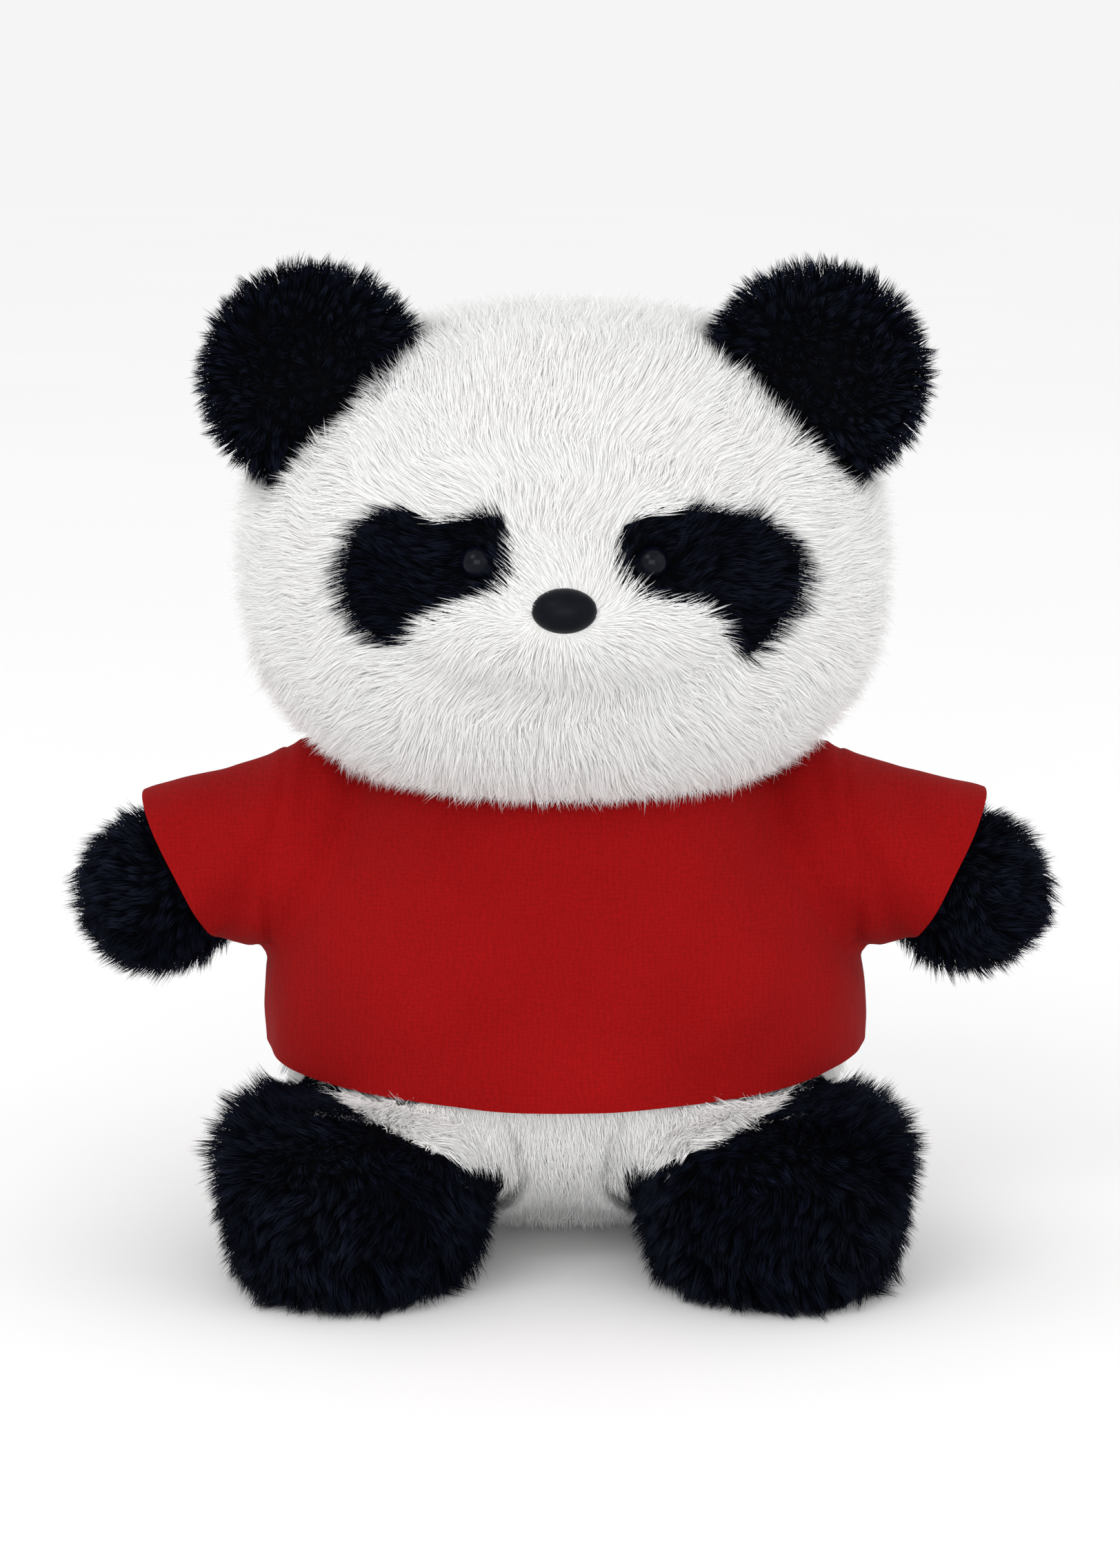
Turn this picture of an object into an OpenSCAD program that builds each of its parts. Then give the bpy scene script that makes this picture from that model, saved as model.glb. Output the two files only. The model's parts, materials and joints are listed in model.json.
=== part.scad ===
// A seated plush panda in a T-shirt, cut and sewn from fur fabric and stuffed.
// The panda faces -Y, its own left is +X, +Z is up and z = 0 is the floor.
// Sizes are in millimetres and include most of the pile of the fur.

/* [Body] */
// Half the width of the body at its widest
torso_rx = 72; // [66:0.5:78]
// Half the depth of the body
torso_ry = 60; // [56:0.5:66]
// Height of the body's widest ring above the floor
torso_waist_z = 52; // [48:0.5:56]
// Rise of the body's rounded top above that ring
torso_up = 75; // [72:0.5:80]
// How square the stuffed forms are: 2 is a plain ellipse
fullness = 2.35; // [2:0.05:2.6]

/* [Head] */
// Half the width of the head over the cheeks
head_rx = 79; // [75:0.5:83]
// Half the depth of the head
head_ry = 58; // [55:0.5:61]
// Half the height of the head
head_rz = 62; // [59:0.5:65]
// Height of the neck seam, where the head sits on the body
neck_z = 109; // [106:0.5:112]
// How far the head's centre lies ahead of the body's axis
head_forward = 16; // [12:0.5:20]
// Half the width of the soft muzzle under the nose
muzzle_rx = 38; // [34:0.5:44]
// How far the muzzle stands out from the face
muzzle_out = 7; // [4:0.5:10]

/* [Eyes and nose] */
// Diameter of the safety eyes
eye_d = 8; // [6:0.5:10]
// Distance of each eye from the middle of the face
eye_x = 20.8; // [18:0.1:24]
// Height of the eyes above the head's centre
eye_up = 5.5; // [3:0.5:8]
// Width of the nose
nose_w = 15; // [12:0.5:18]
// Height of the nose
nose_h = 10.5; // [9:0.5:12]
// Diameter of the nose's shank
nose_shank_d = 4; // [3:0.25:5]
// Diameter of an eye's shank
eye_shank_d = 2.6; // [2:0.1:3.2]

/* [Ears] */
// Radius of an ear
ear_r = 28; // [25:0.5:30]
// Thickness of an ear at its middle
ear_t = 21; // [18:0.5:24]
// Slope of the line where an ear meets the head, in degrees
ear_slope = 42.3; // [38:0.5:46]
// Depth of the hollow in the front of an ear
ear_cup = 6; // [3:0.5:7]

/* [Arms] */
// Radius of the paw at the end of an arm
paw_r = 20.5; // [19:0.1:21]
// Distance from the shoulder's centre to the paw's centre
arm_reach = 38.5; // [37:0.5:42]
// How far the arm hangs below level, in degrees
arm_droop = 16.5; // [14:0.5:19]
// Distance of the shoulder's centre from the body's middle plane
shoulder_x = 64; // [63:0.5:68]
// Height of the shoulder's centre
shoulder_z = 96.5; // [93:0.5:97.5]

/* [Legs] */
// Half the width of a leg
leg_rx = 33; // [30:0.5:35]
// Half the length of a leg
leg_ry = 38; // [35:0.5:40]
// Height of a leg
leg_h = 47; // [44:0.5:50]
// Distance of a leg's middle from the body's middle plane
leg_x = 50; // [48:0.5:53]
// Distance of a leg's middle ahead of the body's axis
leg_forward = 51; // [48:0.5:54]
// How far a leg points outwards, in degrees
leg_toe_out = 14; // [8:1:18]
// How square the top of a leg is
leg_fullness = 3.1; // [2.35:0.05:3.2]

/* [Shirt] */
// Height of the shirt's hem above the floor
hem_z = 47.5; // [42:0.5:56]
// Room between the fur and the shirt
shirt_ease = 3; // [2.6:0.1:3.6]
// Thickness of the shirt's cloth
cloth_t = 1.2; // [0.8:0.1:1.4]
// Radius of the shirt's armhole
armhole_r = 25; // [23:0.1:25.5]
// Radius of the sleeve's open end
cuff_r = 22.2; // [22:0.1:24]

/* [Cloth and stuffing] */
// Thickness of the fur fabric, backing and pile together
skin_t = 6; // [5:0.25:7]
// Gap left along each sewn seam
seam_gap = 0.2; // [0.1:0.05:0.3]
// Gap between layers that lie on each other
layer_gap = 0.3; // [0.2:0.05:0.5]
// Radius of the neck opening
neck_r = 30; // [26:0.5:32]
// Half the width of the pouch of pellets in the seat
pouch_rx = 34; // [28:0.5:38]
// Half the depth of that pouch
pouch_ry = 26; // [22:0.5:28]
// Height of that pouch
pouch_h = 26; // [20:0.5:30]
// Radius of the tail
tail_r = 12; // [9:0.5:14]

/* [Hidden] */
$fn = 96;
LEFT = 1;
RIGHT = -1;
huge = 600;
// How far joined or cutting shapes run into each other
overlap = 0.1;

white_fur = [0.93, 0.93, 0.92];
black_fur = [0.05, 0.06, 0.08];
fibre = [0.97, 0.97, 0.95];
shirt_red = [0.62, 0.07, 0.08];
gloss_black = [0.03, 0.03, 0.03];
washer_white = [0.88, 0.88, 0.85];

// Steps along each quarter of a plump outline
outline_steps = 12;
head_z = neck_z + head_rz;
// The seat is cut flat a little above the round form's lowest point
seat_cut = 2;
torso_down = torso_waist_z + seat_cut;
// The head keeps this much room over the body and shirt while it turns and nods
head_room_x = 2.6;
head_room_y = 4.2;
head_room_z = 2;
sleeve_room = 0.6;
armpit_drop = 3;
leg_room_x = 4;
leg_room_y = 2;
leg_room_z = 0.8;
shoulder_y = -4;
neck_plug_depth = 12;
muzzle_drop = 9;
muzzle_z = head_z - muzzle_drop;
muzzle_rz = 16;
muzzle_ry = 19;
muzzle_y = -head_forward - head_ry - muzzle_out + muzzle_ry;
face_seam_back = 2;
face_seam_y = -head_forward + face_seam_back;
side_seam_y = 0;
seat_seam_z = 13;
sole_seam = leg_ry * 0.62;
shirt_rx = torso_rx + shirt_ease;
shirt_ry = torso_ry + shirt_ease;
cuff_droop = 28;
// How far the sleeve's head runs in under the shirt's shoulder
sleeve_tuck = 15;
sleeve_l = 29.5;
sleeve_drop = 4.2;
cuff_x = shoulder_x + sleeve_l;
cuff_z = shoulder_z - sleeve_drop;
tape_w = 14;
tape_l = 50;
tape_drop = 20;
tape_t = 0.9;

// One side of the panda: the left is drawn as it is, the right is its mirror image
module on_side(side) {
    if (side < 0) mirror([1, 0, 0]) children();
    else children();
}

// One corner of a plump outline, from its top (a = 90) to its equator (a = 0)
function plump_point(r, h, a, full) = [
    r * pow(max(cos(a), 0), 2 / full),
    h * pow(max(sin(a), 0), 2 / full)
];

// The lower corners of a plump outline, from its equator down
function plump_under(r, down) = [
    for (i = [1:outline_steps])
        let (p = plump_point(r, down, 90 * i / outline_steps, fullness))
            [p[0], -p[1]]
];

// Half the outline of a plump form of radius r, with its own fullness above the equator
function plump_outline(r, up, down, top_full) = concat(
    [for (i = [outline_steps:-1:0]) plump_point(r, up, 90 * i / outline_steps, top_full)],
    plump_under(r, down)
);

// A stuffed form: round in plan, then narrowed to its real depth
module plump(rx, ry, up, down, top_full = fullness) {
    scale([1, ry / rx, 1])
        rotate_extrude()
            polygon(plump_outline(rx, up, down, top_full));
}

module ellipsoid(rx, ry, rz) {
    scale([rx, ry, rz]) sphere(r = 1);
}

// Everything on one side of a plane: "front", "back", "left", "right", "above" or "below"
module half(which, at = 0) {
    move = which == "front" ? [0, at - huge / 2, 0]
        : which == "back" ? [0, at + huge / 2, 0]
        : which == "left" ? [at + huge / 2, 0, 0]
        : which == "right" ? [at - huge / 2, 0, 0]
        : which == "above" ? [0, 0, at + huge / 2]
        : [0, 0, at - huge / 2];
    translate(move) cube(huge, center = true);
}

// Two wads of fibre side by side, parted at x = `at`
module wads(at = 0) {
    for (side = ["left", "right"])
        intersection() {
            children();
            half(side, side == "left" ? at + seam_gap / 2 : at - seam_gap / 2);
        }
}

// ---- Head ----

module head_form(grow = 0) {
    translate([0, -head_forward, head_z])
        plump(head_rx + grow, head_ry + grow, head_rz + grow, head_rz + grow);
}

// The space that the head needs as it turns and nods
module head_room() {
    translate([0, -head_forward, head_z])
        plump(head_rx + head_room_x, head_ry + head_room_y, head_rz + head_room_z, head_rz + head_room_z);
}

// Moves to the middle of an ear's seam, with +X along the seam, +Y to the back and +Z out of the head
module at_ear(side) {
    on_side(side)
        translate([ear_seam_x(), ear_y(), ear_seam_z()])
            rotate([0, ear_slope, 0])
                children();
}
function ear_seam_x() = 0.64 * head_rx;
function ear_seam_z() = head_z + 0.57 * head_rz;
function ear_y() = -head_forward - 0.31 * head_ry;

ear_centre_up = 13;
ear_root_r = 7;
ear_root_w = 40;
ear_room = 3.2;
// The edge of a folding ear dips this far into the head
ear_sink = 3;
ear_rim = 7;
ear_dish_ry = 14;
ear_dish_up = 2;

// The whole ear: a thick disc cut straight at its seam
module ear_form(grow_r = 0, grow_t = 0, sink = 0) {
    intersection() {
        translate([0, 0, ear_centre_up])
            ellipsoid(ear_r + grow_r, ear_t / 2 + grow_t, ear_r + grow_r);
        half("above", -sink);
    }
}

// The round root that the ear folds about
module ear_root(grow = 0) {
    rotate([0, 90, 0])
        cylinder(r = ear_root_r + grow, h = ear_root_w + 2 * grow, center = true);
}

// The pocket in the head that holds an ear's root and lets it fold
module ear_pocket(side) {
    at_ear(side) {
        ear_form(1, ear_room, ear_sink);
        ear_root(layer_gap);
    }
}

module ear_pockets() {
    ear_pocket(LEFT);
    ear_pocket(RIGHT);
}

// The hollow in the front of an ear
module ear_dish() {
    translate([0, -ear_t / 2 - ear_dish_ry, ear_centre_up + ear_dish_up])
        ellipsoid(ear_r - ear_rim, ear_dish_ry + ear_cup, ear_r - ear_rim);
}

module ear_front(side) {
    color(black_fur)
    at_ear(side)
        difference() {
            intersection() {
                ear_form();
                half("front", -seam_gap / 2);
            }
            ear_dish();
            ear_root(seam_gap);
        }
}

module ear_back(side) {
    color(black_fur)
    at_ear(side) {
        intersection() {
            ear_form();
            half("back", seam_gap / 2);
        }
        ear_root();
    }
}

// Moves to an eye, with +Z pointing out of the face and z = 0 on the fur
module at_eye(side) {
    on_side(side)
        translate([eye_x, eye_surface_y(), head_z + eye_up])
            rotate([0, 0, eye_yaw()])
                rotate([90, 0, 0])
                    children();
}
function eye_surface_y() = -head_forward - head_ry * sqrt(1 - pow(eye_x / head_rx, 2));
function eye_yaw() = atan2(eye_x / pow(head_rx, 2), sqrt(1 - pow(eye_x / head_rx, 2)) / head_ry);

eye_proud = 0.4;
eye_flange_t = 0.8;
flange_step = 0.4;
eye_shank_l = 15;
washer_t = 1.2;
washer_rim = 2.4;
washer_lip = 1;
washer_dish = 0.4;
washer_slack = 1.2;
shank_clearance = 0.15;
// Rings along a shank, which hold its washer
shank_rings = 4;
plain_shank_l = 5;
ring_pitch = 2;
ring_rise = 0.25;
ring_w = 0.6;
bore_l = 60;
seat_l = 20;

function bore_r(shank_d) = shank_d / 2 + ring_rise + shank_clearance;

// The dome, flange and ringed shank of a safety eye or nose
module safety_stud(w, h, dome, shank_d, shank_l) {
    translate([0, 0, -dome])
        intersection() {
            ellipsoid(w / 2, h / 2, dome);
            half("above", 0);
        }
    translate([0, 0, -dome - eye_flange_t])
        scale([1, h / w, 1])
            cylinder(r = w / 2 - flange_step, h = eye_flange_t + 2 * overlap);
    translate([0, 0, -dome - eye_flange_t - shank_l])
        cylinder(d = shank_d, h = shank_l + overlap);
    for (i = [1:shank_rings])
        translate([0, 0, -dome - eye_flange_t - plain_shank_l - ring_pitch * i])
            cylinder(r = shank_d / 2 + ring_rise, h = ring_w);
}

// The hole that a stud needs: a seat for its dome and a bore for its shank
module stud_hole(w, h, dome, shank_d) {
    translate([0, 0, -dome - eye_flange_t - layer_gap])
        scale([1, (h + 2 * layer_gap) / (w + 2 * layer_gap), 1])
            cylinder(r = w / 2 + layer_gap, h = seat_l);
    cylinder(r = bore_r(shank_d), h = bore_l, center = true);
}

module eye(side) {
    color(gloss_black)
    at_eye(side)
        translate([0, 0, eye_proud])
            safety_stud(eye_d, eye_d, eye_d / 2, eye_shank_d, eye_shank_l);
}

module eye_hole(side) {
    at_eye(side)
        translate([0, 0, eye_proud])
            stud_hole(eye_d, eye_d, eye_d / 2, eye_shank_d);
}

// A plain plastic washer pushed onto a stud's shank, against the back of the fabric
module washer(r, shank_d) {
    difference() {
        cylinder(r = r, h = washer_t);
        translate([0, 0, -washer_t / 2]) cylinder(r = bore_r(shank_d), h = 2 * washer_t);
        translate([0, 0, washer_t - washer_dish]) cylinder(r = r - washer_lip, h = washer_t);
    }
}

eye_washer_z = -skin_t - washer_slack - washer_t;
eye_washer_r = eye_d / 2 + washer_rim;

module eye_washer(side) {
    color(washer_white)
    at_eye(side)
        translate([0, 0, eye_washer_z])
            washer(eye_washer_r, eye_shank_d);
}

// Each eye patch's corners, from the face's middle outwards, about the head's centre.
// The left patch is a leaf that runs to a point; the right one has two lobes along its top.
left_patch_corners = [
    [12.5, 8], [15, 17], [27, 19.5], [45, 17.5], [58, 10], [60.5, -2],
    [54, -12], [45, -21.5], [40, -12], [29, -3], [17, -1.5]
];
right_patch_corners = [
    [12.5, 6], [14, 17.5], [22, 18.5], [33, 15], [40, 19.5], [52, 14.5],
    [56, 2], [54.5, -9], [42, -19], [33, -9], [25, -3.5], [16, -1.5]
];
patch_middle = [36, 2];
patch_reach = 14;
patch_from = 20;

// One pass of corner cutting, which rounds a closed outline
function rounded(p) = [
    for (i = [0:len(p) - 1], k = [0.25, 0.75])
        p[i] * (1 - k) + p[(i + 1) % len(p)] * k
];

// The outline of an eye patch, a little larger or smaller about its own middle
module patch_outline(side, size = 1) {
    corners = side > 0 ? left_patch_corners : right_patch_corners;
    polygon([for (p = rounded(rounded(corners))) patch_middle + (p - patch_middle) * size]);
}

module patch_prism(side, size = 1) {
    on_side(side)
        translate([0, -head_forward - patch_from, head_z])
            rotate([90, 0, 0])
                linear_extrude(height = huge / 4)
                    patch_outline(side, size);
}

// Where the face and the muzzle make way for both patches
module patch_openings() {
    patch_prism(LEFT, 1 + seam_gap / patch_reach);
    patch_prism(RIGHT, 1 + seam_gap / patch_reach);
}

module head_skin() {
    difference() {
        head_form();
        head_form(-skin_t);
        ear_pockets();
    }
}

module face_panel() {
    color(white_fur)
    difference() {
        intersection() {
            head_skin();
            half("front", face_seam_y - seam_gap / 2);
        }
        patch_openings();
        nose_hole();
    }
}

module eye_patch(side) {
    color(black_fur)
    difference() {
        intersection() {
            difference() {
                head_form();
                head_form(-skin_t);
            }
            patch_prism(side);
        }
        eye_hole(side);
    }
}

module head_back(side) {
    color(white_fur)
    intersection() {
        head_skin();
        half("back", face_seam_y + seam_gap / 2);
        if (side > 0) half("left", seam_gap / 2);
        else half("right", -seam_gap / 2);
    }
}

// The muzzle: a soft cap of fur fabric sewn over the lower face
module muzzle_panel() {
    color(white_fur)
    difference() {
        translate([0, muzzle_y, muzzle_z]) ellipsoid(muzzle_rx, muzzle_ry, muzzle_rz);
        head_form(layer_gap);
        patch_openings();
        nose_hole();
    }
}

nose_up = 5.4;
nose_tilt = 14;
nose_dome = 5;
nose_shank_l = 21;
nose_sink = 3.9;
// The muzzle's surface in front of the nose
nose_y = muzzle_y - muzzle_ry * sqrt(1 - pow(nose_up / muzzle_rz, 2));

module at_nose() {
    translate([0, nose_y - 1, muzzle_z + nose_up])
        rotate([90 - nose_tilt, 0, 0])
            children();
}

module nose() {
    color(gloss_black)
    at_nose() safety_stud(nose_w, nose_h, nose_dome, nose_shank_d, nose_shank_l);
}

module nose_hole() {
    at_nose() stud_hole(nose_w, nose_h, nose_dome, nose_shank_d);
}

nose_washer_r = nose_w / 2 + 1;
nose_washer_z = -skin_t - muzzle_out - nose_sink - washer_t;

module nose_washer() {
    color(washer_white)
    at_nose()
        translate([0, 0, nose_washer_z])
            washer(nose_washer_r, nose_shank_d);
}

pocket_back = 14;
pocket_l = 30;

// Room inside the stuffing for a washer and the shank behind it
module washer_pocket(z, r) {
    translate([0, 0, z - pocket_back]) cylinder(r = r + layer_gap, h = pocket_l);
}

module head_stuffing() {
    color(fibre)
    wads() difference() {
        head_form(-skin_t - layer_gap);
        ear_pockets();
        at_eye(LEFT) washer_pocket(eye_washer_z, eye_washer_r);
        at_eye(RIGHT) washer_pocket(eye_washer_z, eye_washer_r);
        at_nose() washer_pocket(nose_washer_z, nose_washer_r);
    }
}

// ---- Neck ----

neck_plug_rise = 12;
neck_plug_top = neck_z + neck_plug_rise;
// The head nods in a dish that lies this far off its fur
neck_dish_gap = 0.9;
neck_pocket_h = 60;

// The firm plug of fibre at the neck seam, dished to the head's underside
module neck_stuffing() {
    color(fibre)
    difference() {
        translate([0, -head_forward, neck_z - neck_plug_depth])
            cylinder(r = neck_r, h = neck_plug_top - neck_z + neck_plug_depth);
        head_form(neck_dish_gap);
    }
}

module neck_pocket() {
    translate([0, -head_forward, neck_z - neck_plug_depth - layer_gap])
        cylinder(r = neck_r + layer_gap, h = neck_pocket_h);
}

// ---- Body ----

// The body's stuffed form, flat where it sits
module torso_form(grow = 0) {
    intersection() {
        translate([0, 0, torso_waist_z])
            plump(torso_rx + grow, torso_ry + grow, torso_up + grow, torso_down + grow);
        half("above", max(-grow, 0));
    }
}

module shoulder_sphere(side, r) {
    on_side(side)
        translate([shoulder_x, shoulder_y, shoulder_z])
            rotate([0, 90, 0])
                sphere(r = r);
}

// The room that a sleeve turns in, a little deeper at the armpit, where the sleeve comes down
module shoulder_room(side) {
    shoulder_sphere(side, armhole_r + sleeve_room);
    translate([0, 0, -armpit_drop]) shoulder_sphere(side, armhole_r + sleeve_room);
}

// How far the floor presses a leg's underside up
leg_press = 0.8;

// A leg's stuffed form, flat on the floor
module leg_form(grow_x = 0, grow_y = 0, grow_z = 0) {
    translate([leg_x, -leg_forward, leg_h / 2])
        rotate([0, 0, leg_toe_out])
            plump(leg_rx + grow_x, leg_ry + grow_y, leg_h / 2 + grow_z, leg_h / 2 + leg_press + grow_z,
                leg_fullness);
}

module leg_rooms() {
    for (side = [LEFT, RIGHT])
        on_side(side) leg_form(leg_room_x, leg_room_y, leg_room_z);
}

// What the head, arms and legs take out of the body and its shirt
module limb_rooms() {
    head_room();
    shoulder_room(LEFT);
    shoulder_room(RIGHT);
}

module torso_skin() {
    difference() {
        torso_form();
        torso_form(-skin_t);
        limb_rooms();
        leg_rooms();
        neck_pocket();
    }
}

module belly_panel() {
    color(white_fur)
    intersection() {
        torso_skin();
        half("front", side_seam_y - seam_gap / 2);
        half("above", seat_seam_z + seam_gap / 2);
    }
}

module back_panel(side) {
    color(white_fur)
    intersection() {
        torso_skin();
        half("back", side_seam_y + seam_gap / 2);
        half("above", seat_seam_z + seam_gap / 2);
        if (side > 0) half("left", seam_gap / 2);
        else half("right", -seam_gap / 2);
    }
}

module seat_panel() {
    color(white_fur)
    intersection() {
        torso_skin();
        half("below", seat_seam_z - seam_gap / 2);
    }
}

pouch_z = skin_t + layer_gap + pouch_h / 2;
pouch_y = 6;
pouch_cloth = 1;

module pouch_form(grow = 0) {
    translate([0, pouch_y, pouch_z])
        ellipsoid(pouch_rx + grow, pouch_ry + grow, pouch_h / 2 + grow);
}

head_hollow = 5;
head_hollow_y = 7;
leg_hollow_x = 9;
leg_hollow_y = 9;
leg_hollow_z = 5;

// The hollows that the head, arms and legs press into the body's stuffing
module stuffing_hollows() {
    translate([0, -head_forward, head_z])
        ellipsoid(head_rx + head_hollow, head_ry + head_hollow_y, head_rz + head_hollow);
    shoulder_sphere(LEFT, armhole_r + sleeve_room);
    shoulder_sphere(RIGHT, armhole_r + sleeve_room);
    for (side = [LEFT, RIGHT])
        on_side(side)
            translate([leg_x, -leg_forward, leg_h / 2])
                rotate([0, 0, leg_toe_out])
                    ellipsoid(leg_rx + leg_hollow_x, leg_ry + leg_hollow_y, leg_h / 2 + leg_hollow_z);
}

module torso_stuffing() {
    color(fibre)
    wads() difference() {
        torso_form(-skin_t - layer_gap);
        stuffing_hollows();
        neck_pocket();
        pouch_form(layer_gap);
    }
}

module pellet_pouch() {
    color(fibre)
    intersection() {
        difference() {
            pouch_form();
            pouch_form(-pouch_cloth);
        }
        half("above", 0);
    }
}

module pellet_fill() {
    color([0.8, 0.8, 0.78])
    intersection() {
        pouch_form(-pouch_cloth - layer_gap);
        half("above", 0);
    }
}

tail_z = 26;
tail_sink = 4;

// A short stub sewn low on the back
module tail() {
    color(white_fur)
    difference() {
        translate([0, torso_ry - tail_sink, tail_z]) ellipsoid(tail_r * 1.1, tail_r, tail_r);
        torso_form(layer_gap);
    }
}

// ---- Shirt ----

module shirt_form(grow = 0) {
    intersection() {
        translate([0, 0, torso_waist_z])
            plump(shirt_rx + grow, shirt_ry + grow, torso_up + shirt_ease + grow, torso_down);
        half("above", hem_z);
    }
}

// The shirt's body, open at the neck and at both armholes
module shirt_shell(outer = 0, inner = -cloth_t) {
    difference() {
        shirt_form(outer);
        translate([0, 0, -1]) shirt_form(inner);
        shirt_form(inner);
        limb_rooms();
        neck_pocket();
    }
}

module shirt_front() {
    color(shirt_red)
    intersection() {
        shirt_shell();
        half("front", side_seam_y - seam_gap / 2);
    }
}

module shirt_back(side) {
    color(shirt_red)
    intersection() {
        shirt_shell();
        half("back", side_seam_y + seam_gap / 2);
        if (side > 0) half("left", seam_gap / 2);
        else half("right", -seam_gap / 2);
    }
}

// A strip of closure tape behind the middle of the shirt's back, `layer` tapes in
module closure_tape(layer) {
    outside = -cloth_t - 0.1 - layer * (tape_t / 2 + 0.1);
    intersection() {
        shirt_shell(outside, outside - tape_t / 2);
        half("back", 0);
        translate([0, 0, shoulder_z - tape_drop]) cube([tape_w, huge, tape_l], center = true);
    }
}

module closure_hook() {
    color(shirt_red) closure_tape(0);
}

module closure_loop() {
    color(shirt_red) closure_tape(1);
}

// ---- Arms ----

// The arm's rounded root fills the head of its sleeve
arm_root_r = armhole_r - cloth_t - layer_gap;
paw_swell = 4.2;
arm_middle_r = paw_r - paw_swell;

// Moves to a shoulder, with +X along the arm
module at_arm(side) {
    on_side(side)
        translate([shoulder_x, shoulder_y, shoulder_z])
            rotate([0, arm_droop, 0])
                children();
}

// A stuffed arm: a rounded root, a narrower middle and a fuller paw
module arm_form(grow = 0) {
    rotate([0, 90, 0]) {
        sphere(r = arm_root_r + grow);
        cylinder(r = arm_middle_r + grow, h = arm_reach);
        translate([0, 0, arm_reach]) sphere(r = paw_r + grow);
    }
}

module arm_skin() {
    difference() {
        arm_form();
        arm_form(-skin_t);
    }
}

module arm_half(side, which) {
    color(black_fur)
    at_arm(side)
        intersection() {
            arm_skin();
            half(which, which == "front" ? -seam_gap / 2 : seam_gap / 2);
        }
}

module arm_stuffing(side) {
    color(fibre)
    at_arm(side) arm_form(-skin_t - layer_gap);
}

// The sleeve's cloth, from the armhole to its open cuff
module sleeve_form(grow = 0, past_cuff = 0) {
    hull() {
        translate([shoulder_x, shoulder_y, shoulder_z])
            sphere(r = armhole_r + grow, $fn = 32);
        translate([cuff_x, shoulder_y, cuff_z])
            rotate([0, 90 + cuff_droop, 0])
                cylinder(r = cuff_r + grow, h = 1 + past_cuff, $fn = 32);
    }
}

module sleeve(side) {
    color(shirt_red)
    on_side(side)
        difference() {
            sleeve_form();
            sleeve_form(-cloth_t, 4);
            half("right", shoulder_x - sleeve_tuck);
        }
}

// ---- Legs ----

module leg_skin() {
    difference() {
        leg_form();
        leg_form(-skin_t, -skin_t, -skin_t);
        half("below", 0);
    }
}

// The front of a leg, beyond the seam of its sole
module beyond_sole_seam(gap = 0) {
    translate([leg_x, -leg_forward, 0])
        rotate([0, 0, leg_toe_out])
            half("front", -sole_seam + gap);
}

module leg_upper(side) {
    color(black_fur)
    on_side(side)
        difference() {
            leg_skin();
            beyond_sole_seam(seam_gap);
        }
}

module leg_sole(side) {
    color(black_fur)
    on_side(side)
        intersection() {
            leg_skin();
            beyond_sole_seam();
        }
}

module leg_stuffing(side) {
    color(fibre)
    on_side(side)
        wads(leg_x) leg_form(-skin_t - layer_gap, -skin_t - layer_gap, -skin_t - layer_gap);
}

face_panel();
muzzle_panel();
eye_patch(LEFT);  // eye_patch_left
eye_patch(RIGHT);  // eye_patch_right
head_back(LEFT);  // head_back_left
head_back(RIGHT);  // head_back_right
head_stuffing();
eye(LEFT);  // eye_left
eye(RIGHT);  // eye_right
eye_washer(LEFT);  // eye_washer_left
eye_washer(RIGHT);  // eye_washer_right
nose();
nose_washer();
ear_front(LEFT);  // ear_left_front
ear_back(LEFT);  // ear_left_back
ear_front(RIGHT);  // ear_right_front
ear_back(RIGHT);  // ear_right_back
neck_stuffing();
belly_panel();
back_panel(LEFT);  // back_left
back_panel(RIGHT);  // back_right
seat_panel();
torso_stuffing();
pellet_pouch();
pellet_fill();
tail();
shirt_front();
shirt_back(LEFT);  // shirt_back_left
shirt_back(RIGHT);  // shirt_back_right
closure_hook();
closure_loop();
sleeve(LEFT);  // sleeve_left
arm_half(LEFT, "front");  // arm_left_front
arm_half(LEFT, "back");  // arm_left_back
arm_stuffing(LEFT);  // arm_left_stuffing
sleeve(RIGHT);  // sleeve_right
arm_half(RIGHT, "front");  // arm_right_front
arm_half(RIGHT, "back");  // arm_right_back
arm_stuffing(RIGHT);  // arm_right_stuffing
leg_upper(LEFT);  // leg_left_upper
leg_sole(LEFT);  // leg_left_sole
leg_stuffing(LEFT);  // leg_left_stuffing
leg_upper(RIGHT);  // leg_right_upper
leg_sole(RIGHT);  // leg_right_sole
leg_stuffing(RIGHT);  // leg_right_stuffing
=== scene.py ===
"""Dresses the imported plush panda: its pile, shirt, eyes and nose, in a plain pale studio."""
import json
import math

import bmesh
import bpy
import mathutils
import numpy as np
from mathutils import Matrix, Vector
from mathutils.bvhtree import BVHTree
from mathutils.kdtree import KDTree


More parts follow.
